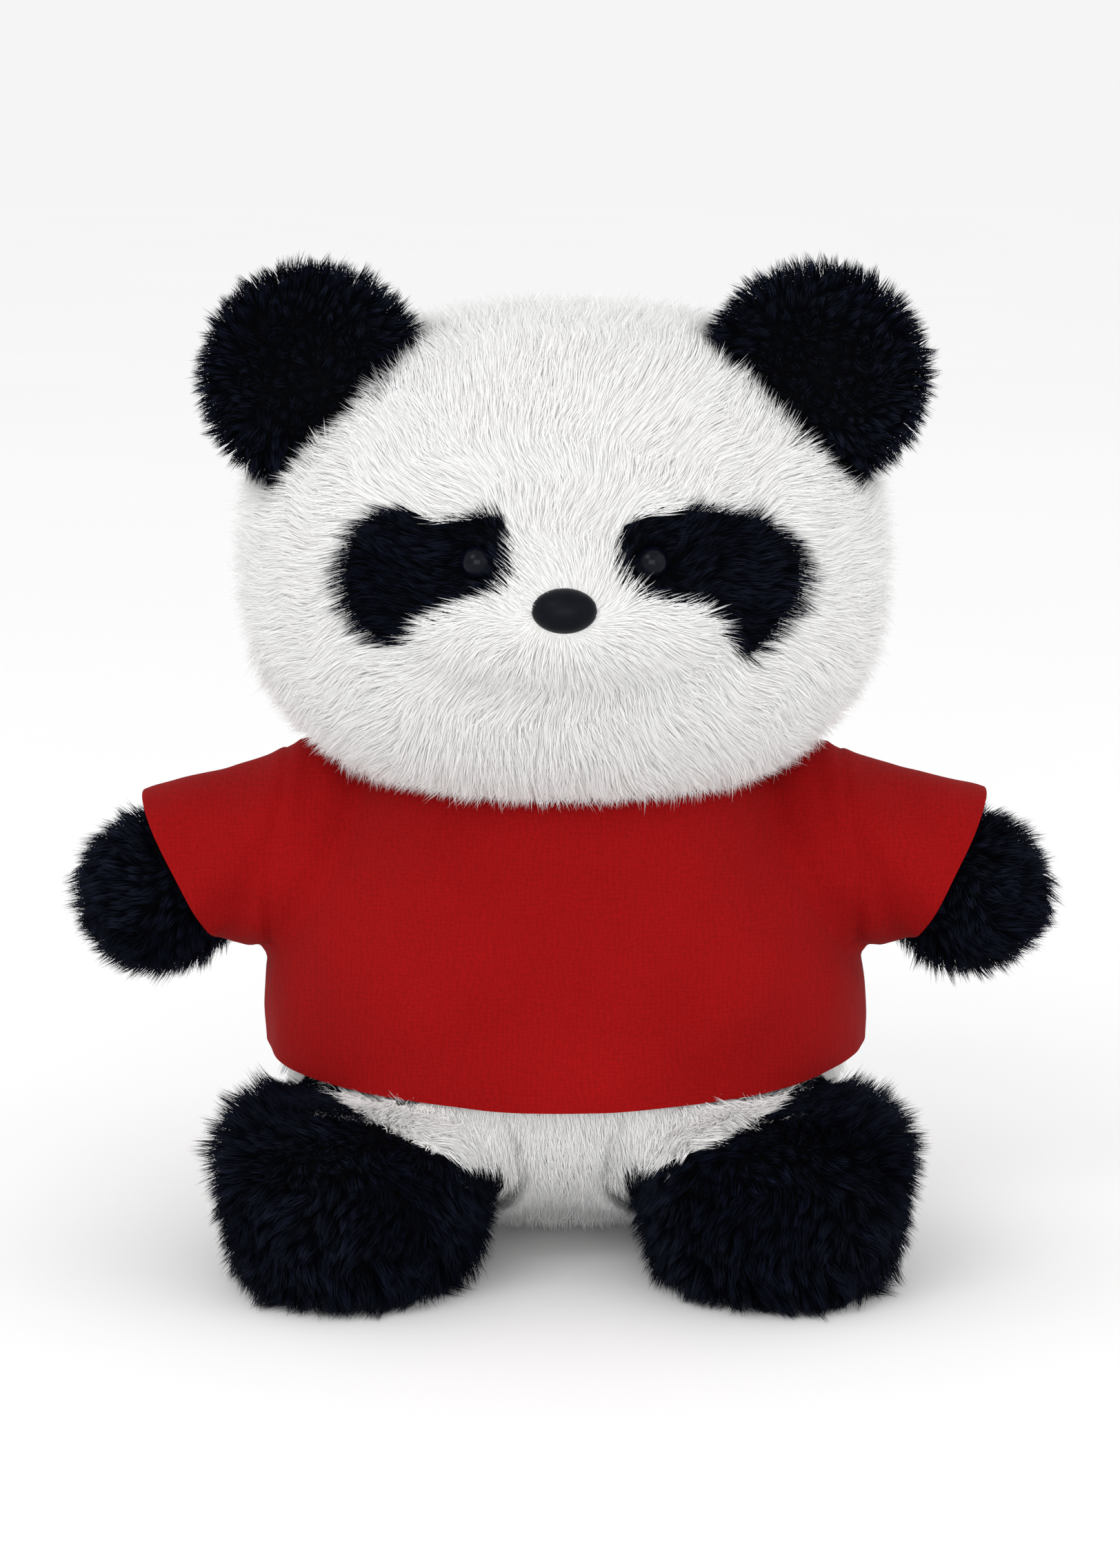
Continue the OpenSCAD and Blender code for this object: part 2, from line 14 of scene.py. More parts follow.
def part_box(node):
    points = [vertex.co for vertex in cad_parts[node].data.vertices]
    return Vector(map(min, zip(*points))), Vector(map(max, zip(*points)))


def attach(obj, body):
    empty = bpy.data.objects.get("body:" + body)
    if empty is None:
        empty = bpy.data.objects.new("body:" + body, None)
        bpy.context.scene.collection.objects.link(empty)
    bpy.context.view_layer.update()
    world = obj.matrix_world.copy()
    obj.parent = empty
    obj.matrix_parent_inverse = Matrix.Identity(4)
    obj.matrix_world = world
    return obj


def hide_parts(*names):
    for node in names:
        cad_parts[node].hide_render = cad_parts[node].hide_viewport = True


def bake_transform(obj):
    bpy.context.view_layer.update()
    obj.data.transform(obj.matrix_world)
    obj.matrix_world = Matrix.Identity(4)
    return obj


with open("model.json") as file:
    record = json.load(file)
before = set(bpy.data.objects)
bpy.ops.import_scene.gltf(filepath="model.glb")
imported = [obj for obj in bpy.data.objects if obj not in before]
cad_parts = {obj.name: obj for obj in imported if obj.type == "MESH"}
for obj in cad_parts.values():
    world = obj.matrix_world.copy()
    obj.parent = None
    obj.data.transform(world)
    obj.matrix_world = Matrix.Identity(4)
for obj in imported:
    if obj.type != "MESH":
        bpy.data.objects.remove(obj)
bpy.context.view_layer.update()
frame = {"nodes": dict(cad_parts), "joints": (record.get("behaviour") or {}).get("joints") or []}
rng = np.random.default_rng(7)

MM = 0.001
UP = np.array([0.0, 0.0, 1.0])
SIDES = {"left": 1, "right": -1}

# Depth of the backing under the CAD surface, which includes most of the pile
BACKING_DEPTH = 4.6 * MM
BACKING_T = 1.1 * MM
# Edge of the squares that a form is made of, and that a small form is made of
FORM_VOXEL = 2.2 * MM
SMALL_VOXEL = 1.6 * MM
# Times that a form's normals are averaged over their neighbours
NORMAL_PASSES = 3
# Sides of a fibre, and the most fibres in one mesh
STRAND_SIDES = 3
MAX_STRANDS = 19000
# Steps of a sequence that spreads a face's few fibres evenly over it
EVEN_STEP = np.array([0.7548777, 0.5698403])
# Fibres that reach the floor lie along it
FLOOR_ROOM = 0.4 * MM
# A fibre shows about this share of its length away from its root, so it takes its cloth there
SEAM_SHIFT = 0.35
# Fibres that root this deep in a neighbour are left out
SKIN_ROOM = 1.0 * MM


# ---- Places read from the frame ----

def node_mesh(name):
    return frame["nodes"][name].data


def corners(*nodes):
    """Lowest and highest corner of several CAD nodes together."""
    boxes = [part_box(n) for n in nodes]
    low = np.min([np.array(b[0]) for b in boxes], axis=0)
    high = np.max([np.array(b[1]) for b in boxes], axis=0)
    return low, high


def middle(*nodes):
    """The middle of several CAD nodes' common box."""
    low, high = corners(*nodes)
    return (low + high) / 2


def joint_place(name):
    """A point on a joint's axis."""
    joint = next(j for j in frame["joints"] if j["name"] == name)
    return np.array(joint["pos_m"])


head_low, head_high = corners("face_panel", "head_back_left", "head_back_right")
head_middle = (head_low + head_high) / 2
nose_low, nose_high = corners("nose")
nose_tip = np.array([0.0, nose_low[1], middle("nose")[2]])
hem_z = corners("shirt_front")[0][2]
shirt_side = corners("shirt_front")[1][0]


# ---- Materials ----

MATERIALS = {}


def new_material(name):
    """Starts a material and gives a function that adds nodes to it."""
    made = MATERIALS[name] = bpy.data.materials.new(name)
    made.use_nodes = True
    tree = made.node_tree
    tree.nodes.clear()

    def add(kind, links=None, **values):
        node = tree.nodes.new(kind)
        for key, value in values.items():
            if key in node.inputs:
                node.inputs[key].default_value = value
            else:
                setattr(node, key, value)
        for socket, source in (links or {}).items():
            tree.links.new(source, node.inputs[socket])
        return node

    return add


def ramp(add, source, stops):
    """A colour ramp through (place, colour) stops."""
    node = add("ShaderNodeValToRGB", {"Fac": source})
    elements = node.color_ramp.elements
    while len(elements) < len(stops):
        elements.new(0.5)
    for element, (place, colour) in zip(elements, stops):
        element.position = place
        element.color = (*colour, 1.0)
    return node.outputs["Color"]


def mixed(add, factor, first, second, blend="MIX"):
    """Two colours mixed; factor is a socket or a number."""
    node = add("ShaderNodeMix", data_type="RGBA", blend_type=blend)
    tree = node.id_data
    inputs = node.inputs[0], node.inputs[6], node.inputs[7]
    for socket, value in zip(inputs, (factor, first, second)):
        if isinstance(value, bpy.types.NodeSocket):
            tree.links.new(value, socket)
        elif isinstance(value, tuple):
            socket.default_value = (*value, 1.0)
        else:
            socket.default_value = value
    return node.outputs[2]


def surface(add, colour, bump=None, **values):
    """A Principled shader with its colour from nodes, and a (height, strength, distance) bump."""
    shader = add("ShaderNodeBsdfPrincipled", {"Base Color": colour})
    for key, value in values.items():
        shader.inputs[key.replace("_", " ")].default_value = value
    if bump is not None:
        height, strength, distance = bump
        bumped = add("ShaderNodeBump", {"Height": height})
        bumped.inputs["Strength"].default_value = strength
        bumped.inputs["Distance"].default_value = distance
        shader.id_data.links.new(bumped.outputs["Normal"], shader.inputs["Normal"])
    add("ShaderNodeOutputMaterial", {"Surface": shader.outputs["BSDF"]})


def noise(add, scale, detail=3.0, coordinates=None):
    if coordinates is None:
        coordinates = add("ShaderNodeTexCoord").outputs["Object"]
    node = add("ShaderNodeTexNoise", {"Vector": coordinates})
    node.inputs["Scale"].default_value = scale
    node.inputs["Detail"].default_value = detail
    return node.outputs[0]


def pile_material(name, root, body, tip, shade, tuft_shade, sheen, specular):
    """Fibres that change colour from root to tip and from tuft to tuft."""
    add = new_material(name)
    along = add("ShaderNodeAttribute", attribute_name="along").outputs["Fac"]
    tint = add("ShaderNodeAttribute", attribute_name="tint").outputs["Fac"]
    length_colour = ramp(add, along, [(0.0, root), (0.55, body), (1.0, tip)])
    patches = ramp(add, noise(add, 38.0), [(0.35, shade), (0.65, (1.0, 1.0, 1.0))])
    toned = mixed(add, 1.0, length_colour, patches, "MULTIPLY")
    tufts = ramp(add, tint, [(0.0, tuft_shade), (1.0, (1.0, 1.0, 1.0))])
    colour = mixed(add, 1.0, toned, tufts, "MULTIPLY")
    surface(add, colour, Roughness=0.85, Sheen_Weight=sheen, Sheen_Roughness=0.45,
            Specular_IOR_Level=specular)


def backing_material(name, dark, light, pale=None):
    """The dense short fibres and knitted backing seen between the longer ones, in tones a little
    darker than the pile's: painted shade for the depth under the fibres.

    Where a mesh marks its second fabric, that one has the colours in pale."""
    add = new_material(name)
    fibres = noise(add, 1300.0, 4.0)
    colour = ramp(add, fibres, [(0.3, dark), (0.7, light)])
    if pale is not None:
        mark = add("ShaderNodeAttribute", attribute_name="pale").outputs["Fac"]
        colour = mixed(add, mark, colour, ramp(add, fibres, [(0.3, pale[0]), (0.7, pale[1])]))
    surface(add, colour, bump=(fibres, 0.6, 0.6 * MM), Roughness=0.95, Specular_IOR_Level=0.1)


def knit_rows(add, place, direction, scale, distortion, detail_scale=1.0):
    """Rows of knitted loops across one direction."""
    node = add("ShaderNodeTexWave", {"Vector": place}, bands_direction=direction)
    node.inputs["Scale"].default_value = scale
    node.inputs["Distortion"].default_value = distortion
    node.inputs["Detail Scale"].default_value = detail_scale
    return node.outputs["Color"]


def jersey_material():
    """Red knitted jersey: fine wales, soft heathering and slightly felted loops."""
    add = new_material("red_jersey")
    place = add("ShaderNodeTexCoord").outputs["Object"]
    warp = add("ShaderNodeTexNoise", {"Vector": place})
    warp.inputs["Scale"].default_value = 90.0
    bent = add("ShaderNodeMix", data_type="VECTOR")
    bent.inputs[0].default_value = 0.006
    bent.id_data.links.new(place, bent.inputs[4])
    bent.id_data.links.new(warp.outputs["Color"], bent.inputs[5])
    wales = knit_rows(add, bent.outputs[1], "X", 260.0, 1.2, 3.0)
    courses = knit_rows(add, bent.outputs[1], "Z", 340.0, 1.6)
    loops = mixed(add, 0.5, wales, courses)
    fuzz = noise(add, 1100.0, 5.0, place)
    height = mixed(add, 0.45, loops, fuzz)
    soft = ramp(add, noise(add, 30.0, 4.0, place),
                [(0.3, (0.244, 0.0028, 0.0033)), (0.7, (0.282, 0.0037, 0.0043))])
    thread = ramp(add, loops, [(0.15, (0.88, 0.88, 0.88)), (0.75, (1.0, 1.0, 1.0))])
    flecks = ramp(add, fuzz, [(0.35, (0.88, 0.88, 0.88)), (0.6, (1.0, 1.0, 1.0))])
    colour = mixed(add, 1.0, mixed(add, 1.0, soft, thread, "MULTIPLY"), flecks, "MULTIPLY")
    surface(add, colour, bump=(height, 0.25, 0.25 * MM), Roughness=0.9, Sheen_Weight=0.01,
            Sheen_Roughness=0.5, Specular_IOR_Level=0.06)


def plastic_material(name, colour, roughness, specular):
    """Moulded plastic with faint flow marks."""
    add = new_material(name)
    flow = noise(add, 240.0, 2.0)
    darker = tuple(0.8 * c for c in colour)
    mottled = ramp(add, flow, [(0.3, darker), (0.7, colour)])
    surface(add, mottled, bump=(flow, 0.04, 0.2 * MM), Roughness=roughness,
            Specular_IOR_Level=specular)


def cloth_material(name, dark, light, scale, bump):
    """Woven or felted cloth, for the tapes, the pouch, the pellets and the fibre filling."""
    add = new_material(name)
    threads = noise(add, scale, 5.0)
    colour = ramp(add, threads, [(0.3, dark), (0.7, light)])
    surface(add, colour, bump=(threads, bump, 0.5 * MM), Roughness=0.92, Sheen_Weight=0.15)


# The black backing's darkest and lightest tone, a little darker than the pile: painted shade for
# depth
BLACK_GROUND = ((0.0004, 0.0006, 0.0012), (0.0014, 0.0018, 0.0034))

pile_material("white_pile", (0.95, 0.946, 0.935), (0.972, 0.970, 0.965), (0.98, 0.98, 0.978),
              shade=(0.990, 0.987, 0.980), tuft_shade=(0.978, 0.976, 0.973),
              sheen=0.1, specular=0.12)
# The black pile's lighter, bluer tips are painted highlight: side light on the fibres' ends, put
# into their colour
pile_material("black_pile", (0.0003, 0.0006, 0.0018), (0.0008, 0.0016, 0.0062),
              (0.026, 0.034, 0.060), shade=(0.40, 0.44, 0.60), tuft_shade=(0.22, 0.22, 0.24),
              sheen=0.0, specular=0.05)
# Each backing is a little darker than its pile: painted shade for the depth under the fibres
backing_material("white_backing", (0.89, 0.885, 0.87), (0.95, 0.945, 0.935))
backing_material("black_backing", *BLACK_GROUND)
backing_material("two_backing", *BLACK_GROUND, pale=((0.84, 0.83, 0.81), (0.94, 0.935, 0.92)))
jersey_material()
plastic_material("eye_plastic", (0.0016, 0.0024, 0.0060), 0.15, 0.12)
plastic_material("nose_plastic", (0.0020, 0.0028, 0.0062), 0.40, 0.08)
plastic_material("washer_plastic", (0.80, 0.80, 0.77), 0.35, 0.5)
cloth_material("fibre_fill", (0.78, 0.78, 0.76), (0.90, 0.90, 0.88), 900.0, 0.9)
cloth_material("pouch_cloth", (0.66, 0.65, 0.61), (0.80, 0.79, 0.75), 1600.0, 0.5)
cloth_material("pellets", (0.60, 0.60, 0.57), (0.86, 0.86, 0.84), 420.0, 1.0)
cloth_material("closure_tape", (0.10, 0.006, 0.007), (0.26, 0.012, 0.014), 2400.0, 0.9)


def placed(name, data):
    """A new object in the scene."""
    made = bpy.data.objects.new(name, data)
    bpy.context.scene.collection.objects.link(made)
    return made


def points_of(vertices):
    return np.array([v.co[:] for v in vertices])


# ---- Forms: one even skin around each body's CAD solids ----

class Form:
    """An evenly meshed closed skin: points, square faces, normals, and each face's CAD node."""

    def __init__(self, skins, inner=(), voxel=FORM_VOXEL, smoothing=3, shape=None):
        self.skins = list(skins)
        points, faces = remeshed([*skins, *inner], voxel, smoothing)
        self.points, self.faces = largest_island(points, faces)
        if shape is not None:
            self.points = shape(self.points)
        self.normals = smooth_normals(self.points, self.faces, NORMAL_PASSES)
        self.tree = BVHTree.FromPolygons(self.points.tolist(), self.faces.tolist())
        self.node_tree, self.node_of_triangle = skin_tree(self.skins)

    def inside(self, points, margin=0.0):
        """Which points lie deeper than margin inside this form."""
        low, high = self.points.min(axis=0), self.points.max(axis=0)
        found = ((points > low) & (points < high)).all(axis=1)
        found[found] = self.clearance(points[found]) < -margin
        return found

    def clearance(self, points):
        """Signed distance of points from this form: above 0 outside it."""
        found = np.zeros(len(points))
        for i, p in enumerate(points):
            place, normal, _, distance = self.tree.find_nearest(Vector(p))
            found[i] = math.copysign(distance, (Vector(p) - place).dot(normal))
        return found

    def nearest_node(self, points):
        """The number in self.skins of the node nearest to each point."""
        triangles = (self.node_tree.find_nearest(Vector(p))[2] for p in points)
        return np.array([self.node_of_triangle[t] for t in triangles])


def remeshed(nodes, voxel, smoothing, solids=None):
    """The outer surface of some CAD nodes, and of what the bmesh solids holds, as even squares."""
    solids = solids or bmesh.new()
    for n in nodes:
        solids.from_mesh(node_mesh(n))
    mesh = bpy.data.meshes.new("form")
    solids.to_mesh(mesh)
    solids.free()
    source = placed("form", mesh)
    remesh = source.modifiers.new("remesh", "REMESH")
    remesh.mode = "VOXEL"
    remesh.voxel_size = voxel
    smooth = source.modifiers.new("smooth", "SMOOTH")
    smooth.factor = 0.5
    smooth.iterations = smoothing
    evaluated = source.evaluated_get(bpy.context.evaluated_depsgraph_get())
    result = bpy.data.meshes.new_from_object(evaluated)
    points = np.zeros(len(result.vertices) * 3)
    result.vertices.foreach_get("co", points)
    faces = np.array([p.vertices[:] for p in result.polygons if len(p.vertices) == 4])
    bpy.data.objects.remove(source)
    bpy.data.meshes.remove(result)
    return points.reshape(-1, 3), faces


def largest_island(points, faces):
    """Leaves out stray pieces of surface inside the form."""
    label = np.arange(len(points))
    while True:
        lowest = label[faces].min(axis=1)
        spread = label.copy()
        np.minimum.at(spread, faces.ravel(), np.repeat(lowest, 4))
        spread = spread[spread]
        if np.array_equal(spread, label):
            break
        label = spread
    names, counts = np.unique(label, return_counts=True)
    keep = label == names[counts.argmax()]
    number = np.cumsum(keep) - 1
    return points[keep], number[faces[keep[faces[:, 0]]]]


def face_normals(points, faces):
    """Area-weighted normals of square faces."""
    corner = points[faces]
    return np.cross(corner[:, 2] - corner[:, 0], corner[:, 3] - corner[:, 1]) / 2


def smooth_step(x):
    """From 0 to 1, with a soft start and end."""
    x = np.clip(x, 0, 1)
    return x * x * (3 - 2 * x)


def unit(vectors):
    return vectors / np.maximum(np.linalg.norm(vectors, axis=-1, keepdims=True), 1e-12)


def smooth_normals(points, faces, passes):
    """Vertex normals, averaged over their neighbours a few times."""
    at_faces = face_normals(points, faces)
    for _ in range(passes + 1):
        gathered = np.zeros_like(points)
        np.add.at(gathered, faces.ravel(), np.repeat(at_faces, 4, axis=0))
        normals = unit(gathered)
        at_faces = normals[faces].mean(axis=1)
    return normals


def skin_tree(nodes):
    """A search tree over several CAD nodes, and each triangle's node number."""
    points, triangles, owner = [], [], []
    for number, n in enumerate(nodes):
        mesh = node_mesh(n)
        start = len(points)
        points.extend(v.co[:] for v in mesh.vertices)
        triangles.extend([start + i for i in p.vertices] for p in mesh.polygons)
        owner.extend([number] * len(mesh.polygons))
    return BVHTree.FromPolygons(points, triangles), owner


def new_object(name, points, faces, material):
    """A smoothly shaded mesh object from points and faces."""
    mesh = bpy.data.meshes.new(name)
    mesh.from_pydata([tuple(p) for p in points], [], [tuple(f) for f in faces])
    mesh.validate()
    made = placed(name, mesh)
    mesh.materials.append(MATERIALS[material])
    mesh.polygons.foreach_set("use_smooth", [True] * len(mesh.polygons))
    return made


def thickened(flat, name, thickness):
    """A sheet's object replaced by one with the cloth's thickness, laid inwards."""
    wall = flat.modifiers.new("thickness", "SOLIDIFY")
    wall.thickness = thickness
    wall.offset = -1
    evaluated = flat.evaluated_get(bpy.context.evaluated_depsgraph_get())
    mesh = bpy.data.meshes.new_from_object(evaluated)
    mesh.set_sharp_from_angle(angle=math.radians(60))
    bpy.data.objects.remove(flat)
    return placed(name, mesh)


def used_only(points, faces):
    """The points that some faces use, and the faces renumbered."""
    used, renumbered = np.unique(faces, return_inverse=True)
    return points[used], renumbered.reshape(faces.shape)


# ---- Pile: real tapered fibres that grow from the backing ----

class Pile:
    """How one cloth's pile grows.

    density is in fibres per square mm, length and width in mm, and lean in degrees from upright
    at the root and the tip. tuft is how far tips gather, one tuft to each tuft_area square mm.
    ragged is the spread of the lengths, and swirl how far tufts turn."""

    def __init__(self, colour, density, length, width=0.2, lean=(28, 66), tuft=0.5,
                 tuft_area=4.0, ragged=0.16, swirl=0.3):
        self.colour = colour
        self.density = density / (MM * MM)
        self.length = length * MM
        self.width = width * MM
        self.lean = np.radians(lean)
        self.tuft = tuft
        self.tuft_area = tuft_area * MM * MM
        self.ragged = ragged
        self.swirl = swirl


def scatter(form, density):
    """Evenly spread places on a form: points on its surface, and their normals."""
    faces = form.faces
    area = np.linalg.norm(face_normals(form.points, faces), axis=1)
    count = np.floor(area * density + rng.random(len(faces))).astype(int)
    face = np.repeat(np.arange(len(faces)), count)
    turn = np.arange(len(face)) - np.repeat(np.cumsum(count) - count, count)
    start = rng.random((len(faces), 2))[face]
    u, v = ((start + (turn + 1)[:, None] * EVEN_STEP) % 1.0).T
    weights = np.stack([(1 - u) * (1 - v), u * (1 - v), u * v, (1 - u) * v], axis=1)[:, :, None]
    places = (form.points[faces[face]] * weights).sum(axis=1)
    normals = unit((form.normals[faces[face]] * weights).sum(axis=1))
    return places, normals


def across(directions, normals):
    """The part of each direction that lies along the surface, as a unit vector."""
    flat = directions - (directions * normals).sum(axis=1, keepdims=True) * normals
    return unit(flat)


# Lengths of a pile's slow turn and of the wander in it
SWIRL_TURN = 3.4 * MM
SWIRL_WANDER = 5.2 * MM


def swirl(places):
    """A way to lie that turns slowly from tuft to tuft, over about 20 mm."""
    wander = 1.6 * np.sin(places[:, [2, 0, 1]] / SWIRL_WANDER)
    return np.sin(places[:, [1, 2, 0]] / SWIRL_TURN + wander)


# Lean of a fibre that lies flat and of one that stands up, and how much the lean varies
FLAT_LEAN = math.radians(84)
STANDING_LEAN = math.radians(4)
LEAN_SPREAD = math.radians(7)
# How far single fibres stray from the comb
STRAY = 0.28


def grown(places, normals, comb, pile, length_scale, lying):
    """Centre lines of the fibres at three stations, tufted together, and each one's tint.

    lying is 1 where a fibre lies flat, 0 where it leans as its pile does and -1 where it
    stands up."""
    count = len(places)
    stray = rng.normal(size=(count, 3))
    comb = unit(comb + STRAY * across(stray, normals) + pile.swirl * across(swirl(places), normals))
    low, high = (lean + np.maximum(lying, 0) * (FLAT_LEAN - lean)
                 + np.maximum(-lying, 0) * (STANDING_LEAN - lean) for lean in pile.lean)
    low, high = low[:, None], high[:, None]
    spread = rng.normal(0, LEAN_SPREAD, (count, 1))
    rise = np.cos(low + spread) * normals + np.sin(low + spread) * comb
    fall = np.cos(high + spread) * normals + np.sin(high + spread) * comb
    ragged = (1 + pile.ragged * rng.normal(size=count)).clip(0.5, 1.4)
    length = pile.length * length_scale * ragged
    half = (length / 2)[:, None]
    roots = places - BACKING_DEPTH * normals
    bend = roots + half * rise
    tips = bend + half * fall
    stations = np.array([0.0, 0.5, 1.0])[None, :, None]
    line = ((1 - stations) ** 2 * roots[:, None] + 2 * stations * (1 - stations) * bend[:, None]
            + stations ** 2 * tips[:, None])
    leaders = rng.permutation(count)[:max(1, int(count / (pile.density * pile.tuft_area)))]
    tree = KDTree(len(leaders))
    for number, leader in enumerate(leaders):
        tree.insert(roots[leader], number)
    tree.balance()
    leader = leaders[[tree.find(r)[1] for r in roots]]
    pull = pile.tuft * rng.uniform(0.6, 1.0, count)[leader][:, None, None] * stations ** 1.3
    line = line + (line[leader] - line) * pull
    line[:, :, 2] = np.maximum(line[:, :, 2], FLOOR_ROOM)
    tint = 0.65 * rng.random(count)[leader] + 0.35 * rng.random(count)
    return line, tint


# Shares of the pile's width at a fibre's root and middle
RING_SHARES = (0.8, 1.0)
# Fibres are shaded mostly as the cloth is, and partly as threads
CLOTH_SHADING = 0.85
THREAD_SHADING = 0.5


def fibre_mesh(name, line, normals, tint, width, material):
    """Closed tapered fibres around their centre lines."""
    count = len(line)
    points_each = len(RING_SHARES) * STRAND_SIDES + 1
    along = unit(line[:, 1:] - line[:, :-1])
    roll = unit(np.cross(along[:, 0], unit(rng.normal(size=(count, 3)))))
    side = np.cross(along[:, 0], roll)
    turn = 2 * math.pi * np.arange(STRAND_SIDES) / STRAND_SIDES
    turn = turn[None, :, None]
    spoke = np.cos(turn) * roll[:, None] + np.sin(turn) * side[:, None]
    radius = width / 2 * rng.uniform(0.75, 1.25, count)
    points = np.empty((count, points_each, 3))
    for ring, share in enumerate(RING_SHARES):
        at = slice(ring * STRAND_SIDES, (ring + 1) * STRAND_SIDES)
        points[:, at] = line[:, ring, None] + spoke * (radius * share)[:, None, None]
    points[:, -1] = line[:, 2]
    ringed = np.concatenate([spoke, spoke, along[:, 1:2]], axis=1)
    shading = unit(CLOTH_SHADING * normals[:, None] + THREAD_SHADING * ringed)
    mesh = bpy.data.meshes.new(name)
    corner, sizes, marks = fibre_pattern()
    loops = (np.arange(count)[:, None] * points_each + corner[None]).ravel()
    mesh.vertices.add(count * points_each)
    mesh.vertices.foreach_set("co", points.astype(np.float32).ravel())
    mesh.loops.add(len(loops))
    mesh.loops.foreach_set("vertex_index", loops.astype(np.int32))
    mesh.polygons.add(count * len(sizes))
    totals = np.tile(sizes, count)
    mesh.polygons.foreach_set("loop_start", (np.cumsum(totals) - totals).astype(np.int32))
    mesh.update()
    stations = [0.0] * STRAND_SIDES + [0.5] * STRAND_SIDES + [1.0]
    add_values(mesh, "along", np.tile(stations, count))
    add_values(mesh, "tint", np.repeat(tint, points_each))
    add_fibre_map(mesh, count, marks)
    mesh.polygons.foreach_set("use_smooth", np.ones(len(mesh.polygons), bool))
    mesh.normals_split_custom_set_from_vertices(shading.reshape(-1, 3).astype(np.float32))
    mesh.materials.append(MATERIALS[material])
    return placed(name, mesh)


def fibre_pattern():
    """One fibre's corners, its faces' sizes, and each corner's place in its map cell."""
    n = STRAND_SIDES
    corner, sizes, marks = [], [], []
    for i in range(n):
        j = (i + 1) % n
        corner += [i, j, n + j, n + i]
        sizes.append(4)
        marks += [(i / n, 0.1), ((i + 0.9) / n, 0.1), ((i + 0.9) / n, 0.55), (i / n, 0.55)]
    for i in range(n):
        corner += [n + i, n + (i + 1) % n, 2 * n]
        sizes.append(3)
        marks += [(i / n, 0.56), ((i + 0.9) / n, 0.56), ((i + 0.45) / n, 1.0)]
    corner += list(reversed(range(n)))
    sizes.append(3)
    marks += [(0.0, 0.0), (0.9, 0.0), (0.45, 0.08)]
    return np.array(corner), np.array(sizes), np.array(marks)


def add_values(mesh, name, values):
    """A number for each point, which the material reads by name."""
    attribute = mesh.attributes.new(name, "FLOAT", "POINT")
    attribute.data.foreach_set("value", np.asarray(values, np.float32))


def add_fibre_map(mesh, count, marks):
    """A map with one small cell for each fibre, so that baked colour keeps each fibre's own."""
    cells = math.ceil(math.sqrt(count))
    cell = np.stack([np.arange(count) % cells, np.arange(count) // cells], axis=1)
    places = (cell[:, None] + 0.08 + 0.84 * marks[None]) / cells
    layer = mesh.uv_layers.new(name="OFBake")
    layer.data.foreach_set("uv", places.astype(np.float32).ravel())


def dress(form, body, piles, comb, keep, length_at=None, colour_at=None, lying_at=None):
    """Covers a form's CAD nodes: a backing and a pile for each node.

    comb gives the way the fibres lie and keep where there are any. length_at, colour_at and
    lying_at change their length, colour and lean from place to place."""
    node_number = form.nearest_node(form.points[form.faces].mean(axis=1))
    inner = form.points - BACKING_DEPTH * form.normals
    for number, node in enumerate(form.skins):
        its_faces = form.faces[node_number == number]
        backing = new_backing(node + "_backing", inner, its_faces, piles[node].colour)
        if colour_at is not None:
            tint_backing(backing.data, colour_at)
        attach(backing, body)
        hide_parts(node)
    densest = max(piles[n].density for n in form.skins)
    places, normals = scatter(form, densest)
    kept = keep(places)
    places, normals = places[kept], normals[kept]
    lying = comb(places, normals)
    longest = max(piles[n].length for n in form.skins)
    owner = form.nearest_node(places + SEAM_SHIFT * longest * lying)
    for number, node in enumerate(form.skins):
        pile = piles[node]
        mine = (owner == number) & (rng.random(len(places)) < pile.density / densest)
        if mine.any():
            here, up = places[mine], normals[mine]
            scale = 1.0 if length_at is None else length_at(here)
            flat = np.zeros(len(here)) if lying_at is None else lying_at(here)
            line, tint = grown(here, up, lying[mine], pile, scale, flat)
            colours = np.full(len(here), pile.colour)
            if colour_at is not None:
                colours = colour_at(line[:, 1])
            for colour in np.unique(colours):
                its = colours == colour
                suffix = "" if colour == pile.colour else f"_{colour}"
                add_pile(f"{node}{suffix}_pile", body, line[its], up[its], tint[its], pile.width,
                         colour)


def new_backing(name, points, faces, colour):
    """The fabric that a pile grows from."""
    flat = new_object("flat", *used_only(points, faces), colour + "_backing")
    made = thickened(flat, name, BACKING_T)
    return made


def tint_backing(mesh, colour_at):
    """Marks where a backing of two fabrics is the white one."""
    add_values(mesh, "pale", colour_at(points_of(mesh.vertices)) == "white")
    mesh.materials[0] = MATERIALS["two_backing"]


def add_pile(name, body, line, normals, tint, width, colour):
    """Meshes of fibres, in as many pieces as their number needs."""
    parts = math.ceil(len(line) / MAX_STRANDS)
    for part in range(parts):
        share = slice(part, None, parts)
        full_name = name + (f"_{part + 1}" if parts > 1 else "")
        fibres = fibre_mesh(full_name, line[share], normals[share], tint[share], width,
                            colour + "_pile")
        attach(fibres, body)


# ---- How the pile lies ----

EYE_R = 2.8 * MM
# Reach of the parting round an eye
PARTING = 3.0 * MM


def parted(directions, places, eye):
    """Turns the comb away from an eye close to it."""
    away = places - eye
    distance = np.linalg.norm(away, axis=1)
    weight = np.clip((EYE_R + PARTING - distance) / PARTING, 0, 1)[:, None]
    return directions * (1 - weight) + unit(away) * weight


def comb_head(places, normals):
    """Out from the nose, and down over the cheeks and the back."""
    out = unit(places - nose_tip)
    back = np.clip((places[:, 1:2] - head_middle[1]) / (head_high[1] - head_middle[1]), 0, 1)
    low = np.clip((head_middle[2] - places[:, 2:3]) / (head_middle[2] - head_low[2]), 0, 1)
    lying = out * (1 - 0.8 * back) - UP * (0.9 * back + 0.45 * low)
    for side in SIDES:
        lying = parted(lying, places, eye_place(side))
    return across(lying, normals)


